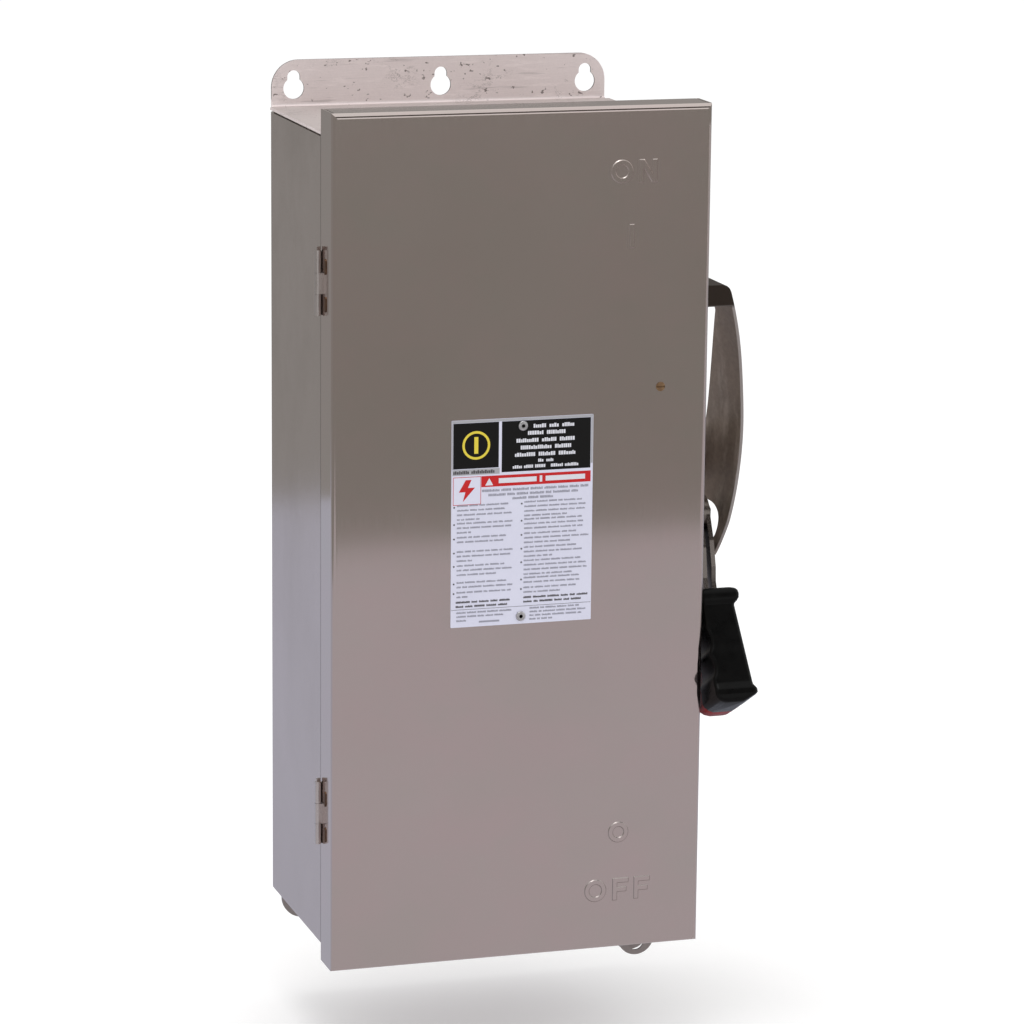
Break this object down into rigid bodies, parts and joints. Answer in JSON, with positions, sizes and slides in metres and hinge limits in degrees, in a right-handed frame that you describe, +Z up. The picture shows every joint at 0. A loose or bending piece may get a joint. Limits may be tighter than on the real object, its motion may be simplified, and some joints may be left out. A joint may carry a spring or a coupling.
{
  "type": "ac disconnect switch box",
  "caption": "Wall-mounted stainless disconnect switch box with a hinged gasketed door, side handle, lock plate, padlock hasp and knife-blade switch inside.",
  "frame": {"origin": "wall plane, centre of the middle keyhole's round part in the top flange", "axes": "+Z up, +X to the right seen from the front, -Y out of the wall towards the user, +Y into the wall"},
  "size_m": [0.2898, 0.1851, 0.5858],
  "materials": {
    "stainless": "satin, faint vertical grain",
    "stainless_dark": "satin",
    "zinc_steel": "zinc plated",
    "heat_tint": "heat-tinted weld",
    "brass": "dull",
    "gasket": "closed-cell foam, black",
    "label": null,
    "black_plastic": "matte black",
    "red_plastic": "dull red",
    "moulded_base": "moulded insulation",
    "red_insulation": "glass-polyester board",
    "copper": "plated copper",
    "lug": "tin-plated aluminium",
    "clear_plastic": "clear polycarbonate",
    "fibre": "vulcanised fibre"
  },
  "bodies": {
    "enclosure": {"enclosure_wrap": "stainless", "top_panel_and_flange": "stainless", "bottom_panel": "stainless", "mounting_feet": "stainless", "front_rim": "stainless", "hinge_knuckles_body": "stainless_dark", "hinge_pins": "stainless_dark", "body_hasp_ear": "stainless_dark", "back_pan": "zinc_steel", "pan_standoffs": "zinc_steel", "pan_screws": "zinc_steel", "line_base": "moulded_base", "hinge_base": "moulded_base", "load_base": "moulded_base", "line_jaws": "copper", "hinge_jaws_and_fuse_clips": "copper", "load_fuse_clips": "copper", "blade_pivot_pins": "zinc_steel", "line_lugs": "lug", "load_lugs": "lug", "arc_shields": "fibre", "arc_plates": "zinc_steel", "phase_barriers": "fibre", "line_shield": "clear_plastic", "ground_lug": "lug", "lug_screws": "zinc_steel", "mechanism_frame": "zinc_steel", "rotor_bracket": "zinc_steel", "shaft_seal": "gasket", "shaft_bearing": "stainless_dark", "bearing_screws": "stainless", "lock_plate": "stainless", "lock_plate_bolts": "stainless"},
    "door": {"door_pan": "stainless", "hinge_knuckles_door": "stainless_dark", "hinge_weld_beads": "heat_tint", "door_gasket": "gasket", "door_hasp_ear": "stainless", "label_plate": "label", "label_rivets": "lug", "defeater_bush": "stainless_dark"},
    "defeater": {"defeater_screw": "brass", "interlock_catch_arm": "zinc_steel", "defeater_nut": "zinc_steel"},
    "handle": {"handle_shaft": "stainless_dark", "drive_crank": "zinc_steel", "interlock_hook": "zinc_steel", "handle_lever": "stainless", "handle_hub": "stainless_dark", "handle_rivet": "stainless", "grip_front_half": "black_plastic", "grip_back_half": "red_plastic"},
    "drive_link": {"drive_link": "zinc_steel"},
    "blade_rotor": {"blade_crossbar": "red_insulation", "knife_blades": "copper", "rotor_end_arm": "zinc_steel", "rotor_crank": "zinc_steel"}
  },
  "joints": [
    {"name": "door_swing", "type": "hinge", "parent": "enclosure", "child": "door", "pos_m": [-0.1188, -0.13465, -0.28], "axis": [0, 0, -1], "range_deg": [0, 150]},
    {"name": "defeater_turn", "type": "hinge", "parent": "door", "child": "defeater", "pos_m": [0.1011, -0.155, -0.1783], "axis": [0, -1, 0], "range_deg": [-12, 0]},
    {"name": "handle_swing", "type": "hinge", "parent": "enclosure", "child": "handle", "pos_m": [0.12, -0.1056, -0.2755], "axis": [-1, 0, 0], "range_deg": [0, 124]},
    {"name": "link_pivot", "type": "hinge", "parent": "handle", "child": "drive_link", "pos_m": [0.092, -0.11717, -0.28929], "axis": [-1, 0, 0], "range_deg": [-124, 0]},
    {"name": "rotor_turn", "type": "hinge", "parent": "enclosure", "child": "blade_rotor", "pos_m": [0.08, -0.062, -0.205], "axis": [-1, 0, 0], "range_deg": [0, 124]}
  ],
  "couplings": [
    {"joint": "rotor_turn", "follows": "handle_swing", "ratio": 1},
    {"joint": "link_pivot", "follows": "handle_swing", "ratio": -1}
  ]
}
